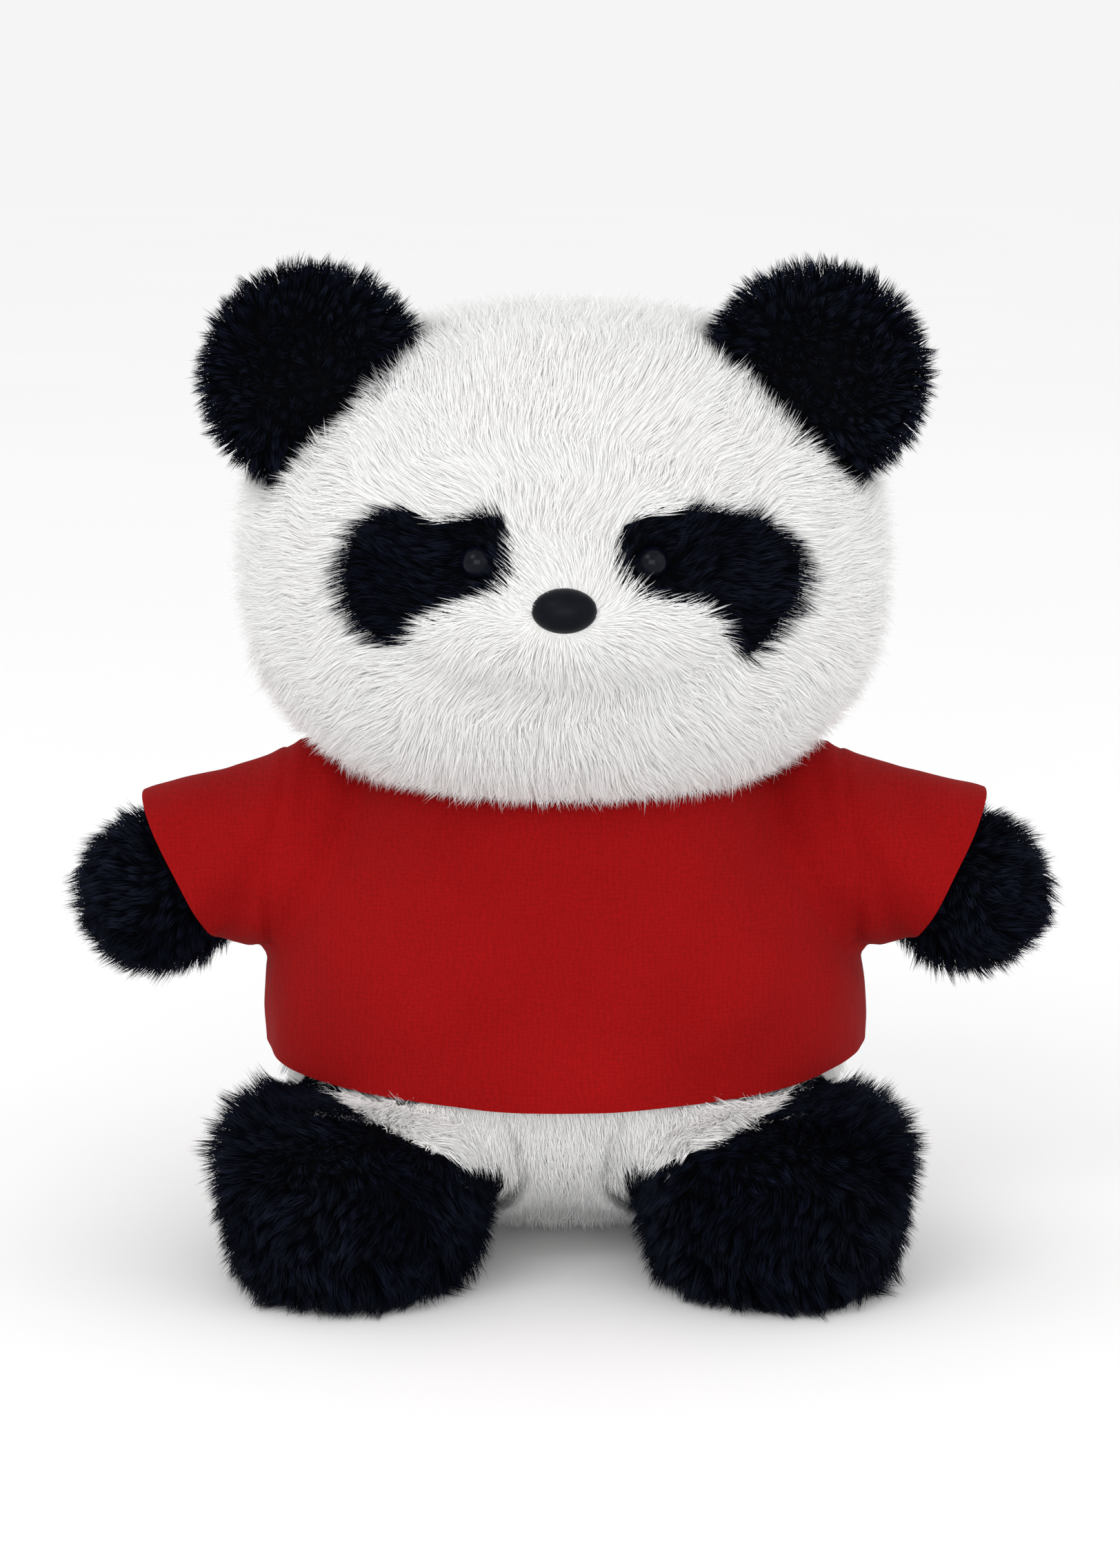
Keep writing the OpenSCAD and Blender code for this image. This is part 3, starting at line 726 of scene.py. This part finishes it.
def comb_down(places, normals):
    """Down, and a little outwards."""
    return across(np.tile(-UP, (len(places), 1)) + 0.25 * unit(places * [1, 1, 0]), normals)


def eye_place(side):
    """The front of an eye's dome."""
    low, high = corners("eye_" + side)
    return np.array([(low[0] + high[0]) / 2, low[1], (low[2] + high[2]) / 2])


WHITE = Pile("white", 3.2, 8.7, 0.15, (28, 68), tuft=0.38, tuft_area=2.4, ragged=0.22, swirl=0.5)
WHITE_BACK = Pile("white", 1.3, 8.6, 0.25, (30, 70), swirl=0.5)
MUZZLE = Pile("white", 3.3, 8.3, 0.15, (24, 62), tuft=0.38, tuft_area=2.4, ragged=0.2, swirl=0.45)
SHORT = Pile("white", 2.6, 6.0, 0.16, (40, 80), tuft=0.15, swirl=0.2)
BLACK = Pile("black", 2.2, 7.8, 0.17, (22, 58), tuft=0.6, ragged=0.22, swirl=0.5)
EAR = Pile("black", 2.4, 6.0, 0.17, (12, 44), tuft=0.75, tuft_area=6.0, ragged=0.24, swirl=0.6)
LIMB = Pile("black", 2.0, 7.8, 0.19, (18, 54), tuft=0.7, tuft_area=7.0, ragged=0.22, swirl=0.7)

# A leg's stuffing settles, which squares off its underside up to this height
SETTLED_TO = 18 * MM
# The lap is raised from its back to its front, most at the floor and up to a height
LAP_BACK = -14 * MM
LAP_DEPTH = 22 * MM
LAP_RISE = 6.5 * MM
LAP_TOP = 30 * MM


def settled(points):
    """A leg's form with its underside squared off by the floor."""
    low = np.clip(points[:, 2] / SETTLED_TO, 0, 1)
    flat = points.copy()
    flat[:, 2] = np.where(low < 1, SETTLED_TO * low ** 2, points[:, 2])
    return flat


def tucked(points):
    """The lap's lower edge rounds up off the floor between the legs."""
    front = smooth_step((LAP_BACK - points[:, 1]) / LAP_DEPTH)
    raised = points.copy()
    raised[:, 2] += front * LAP_RISE * np.clip(1 - points[:, 2] / LAP_TOP, 0, 1)
    return raised


head_piles = {
    "face_panel": WHITE, "muzzle_panel": MUZZLE, "eye_patch_left": BLACK, "eye_patch_right": BLACK,
    "head_back_left": WHITE_BACK, "head_back_right": WHITE_BACK,
}
torso_piles = {
    "belly_panel": SHORT, "back_left": WHITE_BACK, "back_right": WHITE_BACK, "seat_panel": SHORT,
    "tail": WHITE_BACK,
}
leg_skins = {s: [f"leg_{s}_upper", f"leg_{s}_sole"] for s in SIDES}
head = Form(head_piles, ["head_stuffing", "eye_left", "eye_right", "nose"])
ears = {s: Form([f"ear_{s}_front", f"ear_{s}_back"], voxel=SMALL_VOXEL) for s in SIDES}
arms = {s: Form([f"arm_{s}_front", f"arm_{s}_back"], [f"arm_{s}_stuffing"]) for s in SIDES}
legs = {s: Form(leg_skins[s], [f"leg_{s}_stuffing"], shape=settled) for s in SIDES}
torso = Form(torso_piles, ["torso_stuffing", "neck_stuffing"], shape=tucked)

NOSE_R = (nose_high[0] - nose_low[0]) / 2
# The pile starts at this many nose radii from the nose's middle
NOSE_BARE = 0.86
# The pile shortens at the collar up to this height over the head's lowest point, over this fade,
# and round an eye over this reach
CHIN_TOP = 14 * MM
CHIN_FADE = 10 * MM
EYE_FADE = 4 * MM


def round_nose(places):
    """How far places lie from the nose's middle, in nose radii, seen from the front."""
    seat = (places - middle("nose")) / [NOSE_R, 1.0, 0.7 * NOSE_R]
    return np.hypot(seat[:, 0], seat[:, 2]) + 9 * (places[:, 1] > head_middle[1])


def keep_head(places):
    """No fibres under the ears, the eyes or the nose, nor down in the neck."""
    kept = ~(ears["left"].inside(places, SKIN_ROOM) | ears["right"].inside(places, SKIN_ROOM))
    kept &= ~torso.inside(places, 3 * SKIN_ROOM)
    for side in SIDES:
        kept &= np.linalg.norm(places - eye_place(side), axis=1) > EYE_R
    return kept & (round_nose(places) > NOSE_BARE)


def length_head(places):
    """Shorter round the eyes and the nose, and under the chin at the collar."""
    scale = np.ones(len(places))
    for side in SIDES:
        distance = np.linalg.norm(places - eye_place(side), axis=1) - EYE_R
        scale *= np.clip(0.6 + 0.4 * distance / EYE_FADE, 0.6, 1)
    scale *= np.clip(0.55 + 0.45 * (round_nose(places) - 1) / 1.3, 0.55, 1)
    chin = smooth_step((head_low[2] + CHIN_TOP - places[:, 2]) / CHIN_FADE)
    return scale * (1 - 0.3 * chin)


dress(head, "head", head_piles, comb_head, keep_head, length_head)


# An ear's pile fans out from a point this far above its fold
EAR_FAN = 14 * MM


def dress_ear(side):
    fold = joint_place(f"ear_{side}_fold")
    low, high = corners(f"ear_{side}_front", f"ear_{side}_back")
    outward = unit(np.array([high[0] - low[0], 0, high[2] - low[2]]) * [SIDES[side], 0, 1])
    centre = fold + outward * EAR_FAN

    def comb(places, normals):
        return across(unit((places - centre) * [1, 0.3, 1]), normals)

    dress(ears[side], f"ear_{side}", {n: EAR for n in ears[side].skins}, comb,
          lambda places: (places - fold) @ outward > SKIN_ROOM)


# An arm has its pile from this far below the shoulder, inside the sleeve
ARM_BARE = 16 * MM


def dress_arm(side):
    """Pile that runs along the arm and round the paw."""
    shoulder = joint_place(f"arm_{side}_raise")
    paw = middle(f"arm_{side}_front", f"arm_{side}_back")
    low, high = corners(f"arm_{side}_front", f"arm_{side}_back")
    tip = np.array([high[0] if SIDES[side] > 0 else low[0], paw[1], low[2]])
    axis = unit(tip - shoulder)

    def comb(places, normals):
        return across(np.tile(axis, (len(places), 1)) + 0.5 * unit(places - paw), normals)

    dress(arms[side], f"arm_{side}", {n: LIMB for n in arms[side].skins}, comb,
          lambda places: (places - shoulder) @ axis > ARM_BARE)


# The seam where the white fur ends on a leg: its outer end, and the way that it looks, which is
# down, outwards and a little forwards
HIP_SEAM_PLACE = np.array([76.0, -24.0, 46.5]) * MM
HIP_SEAM_NORMAL = unit(np.array([0.36, -0.10, -0.93]))
# The seam's arch over the thigh: its rise, and the middle and half width of its span
HIP_ARCH = 4.0 * MM
HIP_ARCH_X = 48 * MM
HIP_ARCH_REACH = 30 * MM
# A leg's pile fans out from a point this far above its hip
LEG_FAN = 18 * MM
# The leg's outer top corner begins above this height and past this far out, and fades in
CORNER_Z = 24 * MM
CORNER_X = 62 * MM
CORNER_FADE_Z = 12 * MM
CORNER_FADE_X = 10 * MM
# The pile is longer up to this height, and lies flatter from this far below the hip's seam
FOOT_TOP = 12 * MM
SEAM_FADE = 5 * MM


def below_seam(places):
    """How far places lie past the arched hip seam, on its black side."""
    outward = np.abs(places) * [1, 0, 0] + places * [0, 1, 1]
    rise = HIP_ARCH * np.clip(1 - ((outward[:, 0] - HIP_ARCH_X) / HIP_ARCH_REACH) ** 2, 0, 1)
    return (outward - HIP_SEAM_PLACE) @ HIP_SEAM_NORMAL + rise


def dress_leg(side):
    """Black pile below the hip's seam, and the body's white above it."""
    above_hip = joint_place(f"leg_{side}_splay") + UP * LEG_FAN

    def comb(places, normals):
        return across(unit(places - above_hip) - 0.5 * UP, normals)

    def keep(places):
        return ~torso.inside(places, SKIN_ROOM) & (places[:, 2] > 0.6 * MM)

    def colour_at(places):
        return np.where(below_seam(places) > 0, "black", "white")

    def outer_top(places):
        """1 at the outer top corner of the leg, where its pile stands up."""
        return (smooth_step((places[:, 2] - CORNER_Z) / CORNER_FADE_Z)
                * smooth_step((np.abs(places[:, 0]) - CORNER_X) / CORNER_FADE_X))

    def length_at(places):
        """Longer at the hip and along the floor, and short on the white top."""
        low = smooth_step(1 - places[:, 2] / FOOT_TOP)
        longer = 1 + np.maximum(0.25 * outer_top(places), 0.5 * low)
        return np.where(below_seam(places) > 0, longer, 0.8)

    def lying_at(places):
        """Flatter above the seam, under the shirt's hem."""
        outer = outer_top(places)
        return 0.45 * smooth_step(1 - below_seam(places) / SEAM_FADE) * (1 - outer) - 0.6 * outer

    dress(legs[side], f"leg_{side}", {n: LIMB for n in leg_skins[side]}, comb, keep, length_at,
          colour_at, lying_at)


for side in SIDES:
    dress_ear(side)
    dress_arm(side)
    dress_leg(side)


# The body has pile from this height above the floor to this height inside the shirt
SEAT_BARE = 2.0 * MM
HEM_COVER = 5 * MM


def keep_torso(places):
    """Only what shows below the shirt, outside the legs and above the floor."""
    kept = (places[:, 2] < hem_z + HEM_COVER) & (places[:, 2] > SEAT_BARE)
    return kept & ~(legs["left"].inside(places) | legs["right"].inside(places))


dress(torso, "torso", torso_piles, comb_down, keep_torso)
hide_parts("torso_stuffing")


# The bridge is smoothed this often, which sinks it by this much
HIP_SMOOTHING = 40
HIP_FULLNESS = 1.0 * MM
# The bridge is what lies this far outside body and legs, grown by some faces
HIP_CLEARANCE = 0.4 * MM
HIP_BORDER = 4
# It is sought from this height up to this height inside the shirt, and then cut to end at this one
HIP_FLOOR = 7 * MM
HIP_TOP = 3 * MM
HIP_COVER = 0.5 * MM


def dress_hips():
    """White fabric and pile that bridge the fold between the body and each leg."""
    bridge = Form([*torso_piles, *leg_skins["left"], *leg_skins["right"]],
                  ["torso_stuffing", "neck_stuffing", "leg_left_stuffing", "leg_right_stuffing"],
                  smoothing=HIP_SMOOTHING, shape=tucked)
    height = bridge.points[:, 2]
    inside = ((height > HIP_FLOOR) & (height < hem_z + HIP_TOP)
              & (torso.clearance(bridge.points) > HIP_CLEARANCE)
              & (leg_clearance(bridge.points) > HIP_CLEARANCE))
    for _ in range(HIP_BORDER):
        grow = inside[bridge.faces].any(axis=1)
        inside[bridge.faces[grow].ravel()] = True
    inside &= height < hem_z + HIP_COVER
    bridge.faces = bridge.faces[inside[bridge.faces].all(axis=1)]
    bridge.points += HIP_FULLNESS * bridge.normals
    deep = bridge.points - BACKING_DEPTH * bridge.normals
    face_x = bridge.points[bridge.faces].mean(axis=1)[:, 0]
    places, normals = scatter(bridge, SHORT.density)
    line, tint = grown(places, normals, comb_down(places, normals), SHORT, 1.0,
                       np.full(len(places), 0.2))
    on_leg = leg_clearance(line[:, 1]) < torso.clearance(line[:, 1])
    black = on_leg & (below_seam(line[:, 1]) > 0)
    for side, sign in SIDES.items():
        its_faces = bridge.faces[sign * face_x > 0]
        backing = new_backing(f"hip_{side}_backing", deep, its_faces, "white")
        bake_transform(backing)
        here = sign * places[:, 0] > 0
        for name, body, its, colour in (("torso", "torso", here & ~on_leg, "white"),
                                        ("leg", "leg_" + side, here & on_leg & ~black, "white"),
                                        ("leg_black", "leg_" + side, here & black, "black")):
            if its.any():
                add_pile(f"hip_{side}_{name}_pile", body, line[its], normals[its], tint[its],
                         SHORT.width, colour)


def leg_clearance(places):
    return np.minimum(legs["left"].clearance(places), legs["right"].clearance(places))


dress_hips()


# The neck's fabric lies this deep under its solid's surface
NECK_SLACK = 1.5 * MM


def dress_neck():
    """The plug of the neck in its own white fabric, which the collar hides."""
    neck = Form(["neck_stuffing"], voxel=SMALL_VOXEL)
    inner = neck.points - NECK_SLACK * neck.normals
    plug = new_object("neck_backing", inner, neck.faces, "white_backing")
    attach(plug, "neck")
    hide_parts("neck_stuffing")


dress_neck()

# ---- The shirt: jersey panels cut from one draped skin ----

CLOTH_T = 0.9 * MM
SHIRT_VOXEL = 1.7 * MM
# How far a sleeve's open end looks down, and the height where the cut for it ends
CUFF_DROOP = math.radians(28)
CUFF_FLOOR = 64 * MM
# The armhole seam's place out from the middle, and its lowest point
ARMHOLE_X = 72 * MM
ARMPIT_Z = 75 * MM
# Width and depth of the groove that the armhole seam draws
SEAM_WIDTH = 1.2 * MM
SEAM_DEPTH = 0.9 * MM
# The neckline lies this deep in the head's pile
NECK_ROOM = -2.4 * MM
# The collar stands this much higher against the head, over this reach
COLLAR_RISE = 5.0 * MM
COLLAR_REACH = 16 * MM
# The back's two panels stop this far short of the middle
BACK_SLIT = 0.2 * MM
# The hem hangs this much lower at the front, and its slack fades out over this height
HEM_DROP = 3.4 * MM
HEM_REACH = 35 * MM


def hull_mesh(nodes, past):
    """The convex hull of some CAD nodes together, drawn out past their open end."""
    hull = bmesh.new()
    places = np.concatenate([points_of(node_mesh(n).vertices) for n in nodes])
    reach = places @ unit(past)
    end = places[reach > reach.max() - 0.5 * MM] + past
    for place in (*places, *end):
        hull.verts.new(place)
    found = bmesh.ops.convex_hull(hull, input=hull.verts)
    left = found["geom_interior"] + found["geom_unused"]
    spare = {v for v in left if isinstance(v, bmesh.types.BMVert)}
    bmesh.ops.delete(hull, geom=list(spare), context="VERTS")
    mesh = bpy.data.meshes.new("hull")
    hull.to_mesh(mesh)
    hull.free()
    return mesh


def cut_away(shell, field):
    """Cuts a bmesh where the field of its points is zero, and removes what is below zero."""
    layer = shell.verts.layers.float.get("cut") or shell.verts.layers.float.new("cut")
    values = field(points_of(shell.verts))
    for v, value in zip(shell.verts, values):
        v[layer] = value if abs(value) > 1e-7 else 1e-7
    fresh = []
    for edge in [e for e in shell.edges if e.verts[0][layer] * e.verts[1][layer] < 0]:
        first, second = edge.verts
        share = first[layer] / (first[layer] - second[layer])
        made = bmesh.utils.edge_split(edge, first, share)[1]
        made[layer] = 0
        fresh.append(made)
    bmesh.ops.connect_verts(shell, verts=fresh)
    gone = [f for f in shell.faces if sum(v[layer] for v in f.verts) < 0]
    bmesh.ops.delete(shell, geom=gone, context="FACES")


def cuff_axis(sign):
    """The way a sleeve's open end looks."""
    return np.array([sign * math.cos(CUFF_DROOP), 0, -math.sin(CUFF_DROOP)])


def shirt_skin():
    """The shirt's outer skin in one piece, from the hem to the neck and both cuffs."""
    solids = bmesh.new()
    parts = [(["shirt_front", "shirt_back_left", "shirt_back_right"], -8 * MM * UP)]
    parts += [(["sleeve_" + side], 6 * MM * cuff_axis(sign)) for side, sign in SIDES.items()]
    for nodes, past in parts:
        mesh = hull_mesh(nodes, past)
        solids.from_mesh(mesh)
        bpy.data.meshes.remove(mesh)
    points, faces = remeshed([], SHIRT_VOXEL, 6, solids)
    shell = bmesh.new()
    made = [shell.verts.new(p) for p in points]
    for face in faces:
        shell.faces.new([made[i] for i in face])
    cut_away(shell, lambda p: p[:, 2] - hem_z)
    cut_away(shell, lambda p: head.clearance(p) - NECK_ROOM)
    for side, sign in SIDES.items():
        axis = cuff_axis(sign)
        end = (points_of(node_mesh("sleeve_" + side).vertices) @ axis).max()
        cut_away(shell, lambda p: np.maximum(end - p @ axis, CUFF_FLOOR - p[:, 2]))
    return shell


def line_distance(points, start, end):
    """Distance of points from a line, seen from the front."""
    start, end = np.array(start) * MM, np.array(end) * MM
    flat = points[:, [0, 2]]
    along = ((flat - start) @ (end - start)) / ((end - start) @ (end - start))
    nearest = start + np.clip(along, 0, 1)[:, None] * (end - start)
    return np.linalg.norm(flat - nearest, axis=1)


# Folds on both sides, seen from the front: start and end in x and z, width and height, in mm
FOLDS = [
    ((68, 114), (93, 82), 5.0, 1.0),
    ((71, 108), (80, 77), 3.2, -0.9),
    ((84, 112), (101, 90), 4.5, -0.6),
    ((73, 96), (75, 80), 2.2, 0.7),
    ((62, 118), (68, 96), 3.0, -0.7),
    ((58, 108), (34, 84), 8.0, -0.7),
    ((82, 78), (88, 73), 2.6, -1.0),
    ((52, 74), (26, 60), 7.0, 0.6),
]


def draped(points, normals):
    """The points moved by the shirt's folds, slack hem, seams and collar."""
    lift = np.zeros(len(points))
    facing = np.where(points[:, 1] < 0, 1, 0.7)
    for start, end, width, height in FOLDS:
        distance = line_distance(np.abs(points), start, end)
        lift += height * MM * np.exp(-(distance / (width * MM)) ** 2) * facing
    soft = np.array([mathutils.noise.noise(Vector(p * 42)) for p in points])
    fine = np.array([mathutils.noise.noise(Vector(p * 110)) for p in points])
    lift += 0.9 * MM * soft + 0.25 * MM * fine
    collar = head.clearance(points)
    lift -= SEAM_DEPTH * np.exp(-(inside_body(points) / SEAM_WIDTH) ** 2)
    low = smooth_step(1 - (points[:, 2] - hem_z) / HEM_REACH)
    turn = np.arctan2(points[:, 1], points[:, 0])
    lift += low * MM * (0.7 + 0.45 * np.sin(7 * turn + 0.8) + 0.25 * np.sin(13 * turn))
    moved = points + lift[:, None] * normals
    front = np.where(points[:, 1] < 0, 1 - (points[:, 0] / shirt_side) ** 2, 0)
    moved[:, 2] -= low * HEM_DROP * np.clip(front, 0, 1)
    moved[:, 2] += COLLAR_RISE * smooth_step(1 - collar / COLLAR_REACH)
    return moved


def armhole_seam(points):
    """How far out the armhole seam lies: a little less at the shoulder."""
    return ARMHOLE_X - 4 * MM * smooth_step((points[:, 2] - 96 * MM) / (24 * MM))


def inside_body(points):
    """Above 0 on the body's side of the armhole seam, which ends at the armpit."""
    out = np.abs(points[:, 0])
    below = ARMPIT_Z - points[:, 2] - 0.6 * (out - ARMHOLE_X)
    return np.maximum(armhole_seam(points) - out, below)


def sewn(name, skin, fields, node):
    """One panel of the shirt: what the fields keep of the skin, with the cloth's thickness."""
    panel = skin.copy()
    for field in fields:
        cut_away(panel, field)
    points = points_of(panel.verts)
    number = {v: i for i, v in enumerate(panel.verts)}
    faces = [[number[v] for v in f.verts] for f in panel.faces]
    area = sum(f.calc_area() for f in panel.faces)
    panel.free()
    made = thickened(new_object("flat", points, faces, "red_jersey"), name, CLOTH_T)
    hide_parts(node)
    return made


def make_shirt():
    """Drapes the shirt's skin, and cuts it at its seams."""
    skin = shirt_skin()
    skin.normal_update()
    normals = np.array([v.normal[:] for v in skin.verts])
    for v, p in zip(skin.verts, draped(points_of(skin.verts), normals)):
        v.co = p

    front = sewn("shirt_front_cloth", skin, [inside_body, lambda p: -p[:, 1]], "shirt_front")
    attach(front, "torso")
    for side, sign in SIDES.items():
        back = sewn(f"shirt_back_{side}_cloth", skin,
                    [inside_body, lambda p: p[:, 1], lambda p: sign * p[:, 0] - BACK_SLIT],
                    "shirt_back_" + side)
        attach(back, "torso")
        sleeve = sewn(f"sleeve_{side}_cloth", skin,
                      [lambda p: -inside_body(p), lambda p: sign * p[:, 0]],
                      "sleeve_" + side)
        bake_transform(sleeve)
    skin.free()


make_shirt()

# ---- What stays from the CAD model, with its finish ----

KEPT = {
    "eye_plastic": ["eye_left", "eye_right"],
    "nose_plastic": ["nose"],
    "washer_plastic": ["eye_washer_left", "eye_washer_right", "nose_washer"],
    "fibre_fill": ["head_stuffing", "arm_left_stuffing", "arm_right_stuffing",
                   "leg_left_stuffing", "leg_right_stuffing"],
    "pouch_cloth": ["pellet_pouch"],
    "pellets": ["pellet_fill"],
    "closure_tape": ["closure_hook", "closure_loop"],
}
for finish, nodes in KEPT.items():
    for n in nodes:
        node_mesh(n).materials.clear()
        node_mesh(n).materials.append(MATERIALS[finish])


# ---- Studio ----

FLOOR_HALF = 6.0
# Tone of the sky behind the floor's far end, which it matches
SKY_TONE = 0.915
# Area lights: place and width in metres, power in watts
LIGHTS = {
    "key": ((-0.9, -1.3, 1.5), 0.9, 7.0),
    "fill": ((1.5, -1.2, 0.9), 1.6, 4.0),
    "low": ((0.0, -1.9, 0.2), 1.4, 17.0),
}
LIT_PLACE = Vector((0, 0, 0.12))


def studio():
    """A pale floor, a large key light, a fill, a low front light and an even sky."""
    add = new_material("pale_floor")
    tone = ramp(add, noise(add, 3.0, 2.0), [(0.3, (0.91, 0.91, 0.91)), (0.7, (0.92, 0.92, 0.92))])
    surface(add, tone, Roughness=0.9, Specular_IOR_Level=0.0)
    edges = [(x * FLOOR_HALF, y * FLOOR_HALF, 0) for x, y in ((-1, -1), (1, -1), (1, 1), (-1, 1))]
    floor = new_object("floor", edges, [(0, 1, 2, 3)], "pale_floor")
    for name, (place, width, power) in LIGHTS.items():
        light = bpy.data.lights.new(name, "AREA")
        light.energy = power
        light.size = width
        lamp = placed(name, light)
        lamp.location = place
        lamp.rotation_euler = (LIT_PLACE - Vector(place)).to_track_quat("-Z", "Y").to_euler()
    world = bpy.data.worlds.new("studio")
    bpy.context.scene.world = world
    world.use_nodes = True
    tree = world.node_tree
    sky = tree.nodes["Background"]
    sky.inputs["Color"].default_value = (1, 1, 1, 1)
    sky.inputs["Strength"].default_value = 1.0
    seen_sky = tree.nodes.new("ShaderNodeBackground")
    seen_sky.inputs["Color"].default_value = (SKY_TONE, SKY_TONE, SKY_TONE, 1)
    path = tree.nodes.new("ShaderNodeLightPath")
    mix = tree.nodes.new("ShaderNodeMixShader")
    tree.links.new(path.outputs["Is Camera Ray"], mix.inputs["Fac"])
    tree.links.new(sky.outputs["Background"], mix.inputs[1])
    tree.links.new(seen_sky.outputs["Background"], mix.inputs[2])
    tree.links.new(mix.outputs["Shader"], tree.nodes["World Output"].inputs["Surface"])
    bpy.context.scene.view_settings.view_transform = "Standard"


def camera():
    """Straight ahead of the panda and a little above, as a long lens sees it from a metre away."""
    distance, elevation, view_height = 1.0, math.radians(10.5), 0.3866
    target = Vector((-0.001, -0.012, 0.1141))
    back = Vector((0, -math.cos(elevation), math.sin(elevation)))
    data = bpy.data.cameras.new("camera")
    data.sensor_width = 36.0
    data.lens = data.sensor_width * distance / view_height
    made = placed("camera", data)
    made.location = target + back * distance
    made.rotation_euler = (-back).to_track_quat("-Z", "Y").to_euler()
    bpy.context.scene.camera = made


studio()
camera()
